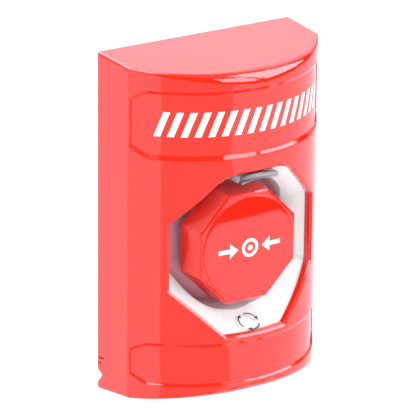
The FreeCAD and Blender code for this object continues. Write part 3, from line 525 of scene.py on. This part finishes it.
def makeFloor(d):
    bm = bmesh.new()
    bmesh.ops.create_grid(bm, x_segments=1, y_segments=1, size=d["floorSize"] / 2)
    bmesh.ops.translate(bm, vec=(0, 0, shellLow.z - d["floorDrop"]), verts=bm.verts[:])
    floor = meshObject("studioFloor", bm)
    material = bpy.data.materials.new("studioWhite")
    material.use_nodes = True
    nodes, links = material.node_tree.nodes, material.node_tree.links
    maths = makeMaths(nodes, links)
    shader = nodes["Principled BSDF"]
    shader.inputs["Base Color"].default_value = (d["tone"], d["tone"], d["tone"], 1)
    shader.inputs["Roughness"].default_value = d["roughness"]
    glow = nodes.new("ShaderNodeEmission")
    glow.inputs["Color"].default_value = (1, 1, 1, 1)
    glow.inputs["Strength"].default_value = d["glow"]
    path = nodes.new("ShaderNodeLightPath")
    # in the camera's view the rest is lit, so the shadow still shows
    share = maths("MULTIPLY", path.outputs["Is Camera Ray"], d["glowShare"])
    mix = nodes.new("ShaderNodeMixShader")
    links.new(maths("MAXIMUM", share, path.outputs["Is Transmission Ray"]), mix.inputs["Fac"])
    links.new(shader.outputs[0], mix.inputs[1])
    links.new(glow.outputs[0], mix.inputs[2])
    links.new(mix.outputs[0], nodes["Material Output"].inputs["Surface"])
    floor.data.materials.append(material)
    floor.visible_glossy = False


makeFloor(studio)

lamps = {
    "keyLamp": {"place": (0.75, -1.3, 0.95), "size": 0.7, "power": 11.0},
    "sideLamp": {"place": (-1.5, -0.45, 0.25), "size": 0.9, "power": 8.5},
    "topLamp": {"place": (0.1, -0.1, 1.3), "size": 0.9, "power": 4.0},
    "fillLamp": {"place": (-0.6, -1.25, -0.1), "size": 0.6, "power": 8.0},
}


def makeLamp(name, d):
    light = bpy.data.lights.new(name, "AREA")
    light.shape = "SQUARE"
    light.size = d["size"]
    light.energy = d["power"]
    lamp = bpy.data.objects.new(name, light)
    scene.collection.objects.link(lamp)
    lamp.location = d["place"]
    lamp.visible_glossy = False
    lamp.rotation_euler = (-Vector(d["place"])).to_track_quat("-Z", "Y").to_euler()


for name, lamp in lamps.items():
    makeLamp(name, lamp)

# what the gloss sees of the room: each panel is a soft-edged patch of brightness, in degrees,
# and later ones lie over earlier ones
roomPanels = [
    {"azimuth": 0, "elevation": -51.8, "halfWidth": 200, "halfHeight": 38.2, "edge": 0.2, "level": 0.62},
    {"azimuth": -115.5, "elevation": -51.8, "halfWidth": 58, "halfHeight": 38.2, "edge": 0.2, "level": 1.2},
    {"azimuth": 95.5, "elevation": -51.8, "halfWidth": 89, "halfHeight": 38.2, "edge": 1.0, "level": 1.26},
    {"azimuth": 18.5, "elevation": 23.2, "halfWidth": 78.5, "halfHeight": 36.8, "edge": 0.2, "level": 0.04},
    {"azimuth": 15.5, "elevation": 26.5, "halfWidth": 15.5, "halfHeight": 18.5, "edge": 1.5, "level": 5.0},
    {"azimuth": 59, "elevation": 36.5, "halfWidth": 23, "halfHeight": 26.5, "edge": 2.0, "level": 6.0},
    {"azimuth": 130, "elevation": 36, "halfWidth": 33, "halfHeight": 18, "edge": 3.0, "level": 1.7},
    {"azimuth": -135, "elevation": 60, "halfWidth": 70, "halfHeight": 27, "edge": 3.0, "level": 5.0},
    # a dark strip low in the room, which shows in the step above each band
    {"azimuth": -69, "elevation": -60, "halfWidth": 21, "halfHeight": 8, "edge": 1.0, "level": 0.05},
    {"azimuth": -12, "elevation": -63, "halfWidth": 36, "halfHeight": 6.5, "edge": 1.0, "level": 0.05},
    {"azimuth": 37, "elevation": -56.5, "halfWidth": 13, "halfHeight": 4, "edge": 1.0, "level": 0.05},
    {"azimuth": 60, "elevation": -50.5, "halfWidth": 10, "halfHeight": 3.5, "edge": 1.0, "level": 0.1},
    {"azimuth": 79, "elevation": -42, "halfWidth": 9, "halfHeight": 3, "edge": 1.0, "level": 0.3},
]
room = {"base": 0.55, "ambient": 0.75, "backdrop": 1.0, "glossColour": (1, 1, 1.1)}
panelInputs = (
    ("Under", floatSocket, 1.0),
    ("Direction", vectorSocket, None),
    ("Azimuth", floatSocket, 0.0),
    ("Elevation", floatSocket, 0.0),
    ("Half Width", floatSocket, 0.3),
    ("Half Height", floatSocket, 0.3),
    ("Edge", floatSocket, 0.05),
    ("Level", floatSocket, 1.0),
)
panelAngles = {"azimuth": "Azimuth", "elevation": "Elevation", "halfWidth": "Half Width",
               "halfHeight": "Half Height", "edge": "Edge"}


def makePanelGroup():
    group = makeGroup("roomPanel", panelInputs, (("Brightness", floatSocket),))
    nodes, links = group.nodes, group.links
    maths = makeMaths(nodes, links)
    entry = nodes.new("NodeGroupInput")
    leave = nodes.new("NodeGroupOutput")
    turn = nodes.new("ShaderNodeVectorRotate")
    turn.rotation_type = "Z_AXIS"
    links.new(entry.outputs["Direction"], turn.inputs["Vector"])
    links.new(maths("MULTIPLY", entry.outputs["Azimuth"], -1.0), turn.inputs["Angle"])
    parts = nodes.new("ShaderNodeSeparateXYZ")
    links.new(turn.outputs[0], parts.inputs[0])
    ahead = maths("MULTIPLY", parts.outputs["Y"], -1.0)
    around = maths("ABSOLUTE", maths("ARCTAN2", parts.outputs["X"], ahead))
    height = maths("ARCSINE", parts.outputs["Z"])
    above = maths("ABSOLUTE", maths("SUBTRACT", height, entry.outputs["Elevation"]))
    masks = []
    for distance, limit in ((around, "Half Width"), (above, "Half Height")):
        ramp = nodes.new("ShaderNodeMapRange")
        ramp.interpolation_type = "SMOOTHSTEP"
        links.new(distance, ramp.inputs["Value"])
        links.new(maths("SUBTRACT", entry.outputs[limit], entry.outputs["Edge"]), ramp.inputs["From Min"])
        links.new(maths("ADD", entry.outputs[limit], entry.outputs["Edge"]), ramp.inputs["From Max"])
        ramp.inputs["To Min"].default_value = 1.0
        ramp.inputs["To Max"].default_value = 0.0
        masks.append(ramp.outputs["Result"])
    mask = maths("MULTIPLY", masks[0], masks[1])
    change = maths("MULTIPLY", mask, maths("SUBTRACT", entry.outputs["Level"], entry.outputs["Under"]))
    links.new(maths("ADD", entry.outputs["Under"], change), leave.inputs["Brightness"])
    return group


def layPanels(nodes, links, panels, base):
    roomPanel = makePanelGroup()
    heading = nodes.new("ShaderNodeTexCoord")
    brightness = None
    for panel in panels:
        patch = nodes.new("ShaderNodeGroup")
        patch.node_tree = roomPanel
        for key, socket in panelAngles.items():
            patch.inputs[socket].default_value = math.radians(panel[key])
        patch.inputs["Level"].default_value = panel["level"]
        links.new(heading.outputs["Generated"], patch.inputs["Direction"])
        if brightness:
            links.new(brightness, patch.inputs["Under"])
        else:
            patch.inputs["Under"].default_value = base
        brightness = patch.outputs["Brightness"]
    return brightness


def makeWorld(d, panels):
    # gloss sees the panels, the camera and rays through the clear bar see white, the rest is even
    world = bpy.data.worlds.new("studioWorld")
    scene.world = world
    world.use_nodes = True
    nodes, links = world.node_tree.nodes, world.node_tree.links
    maths = makeMaths(nodes, links)

    def mixShaders(share, first, second):
        mix = nodes.new("ShaderNodeMixShader")
        links.new(share, mix.inputs["Fac"])
        links.new(first, mix.inputs[1])
        links.new(second, mix.inputs[2])
        return mix.outputs[0]

    ambient = nodes["Background"]
    ambient.inputs["Color"].default_value = (1, 1, 1, 1)
    ambient.inputs["Strength"].default_value = d["ambient"]
    gloss = nodes.new("ShaderNodeBackground")
    gloss.inputs["Color"].default_value = (*d["glossColour"], 1)   # a touch cool, as daylight is
    links.new(layPanels(nodes, links, panels, d["base"]), gloss.inputs["Strength"])
    backdrop = nodes.new("ShaderNodeBackground")
    backdrop.inputs["Color"].default_value = (1, 1, 1, 1)
    backdrop.inputs["Strength"].default_value = d["backdrop"]
    rays = nodes.new("ShaderNodeLightPath")
    seen = maths("MAXIMUM", rays.outputs["Is Camera Ray"], rays.outputs["Is Transmission Ray"])
    lit = mixShaders(rays.outputs["Is Glossy Ray"], ambient.outputs[0], gloss.outputs[0])
    links.new(mixShaders(seen, lit, backdrop.outputs[0]), nodes["World Output"].inputs["Surface"])


makeWorld(room, roomPanels)

viewFit = {"right": (0.828737, -0.559561, 0.009333), "up": (0.176659, 0.277391, 0.944376),
           "back": (-0.531024, -0.780990, 0.328736), "target": (0.0, -0.020, 0.00015),
           "distance": 1.303208, "across": -0.0062092, "above": 0.0034427, "lens": 329.293,
           "sensor": 36.0, "nearest": 0.05, "farthest": 30.0}


def makeCamera(d):
    data = bpy.data.cameras.new("viewCamera")
    data.sensor_width = d["sensor"]
    data.lens = d["lens"]
    data.clip_start = d["nearest"]
    data.clip_end = d["farthest"]
    camera = bpy.data.objects.new("viewCamera", data)
    scene.collection.objects.link(camera)
    right, up, back = Vector(d["right"]), Vector(d["up"]), Vector(d["back"])
    place = Vector(d["target"]) + right * d["across"] + up * d["above"] + back * d["distance"]
    camera.matrix_world = Matrix((
        (right.x, up.x, back.x, place.x),
        (right.y, up.y, back.y, place.y),
        (right.z, up.z, back.z, place.z),
        (0, 0, 0, 1),
    ))
    scene.camera = camera


makeCamera(viewFit)
scene.view_settings.view_transform = "Standard"

print("scene ready")
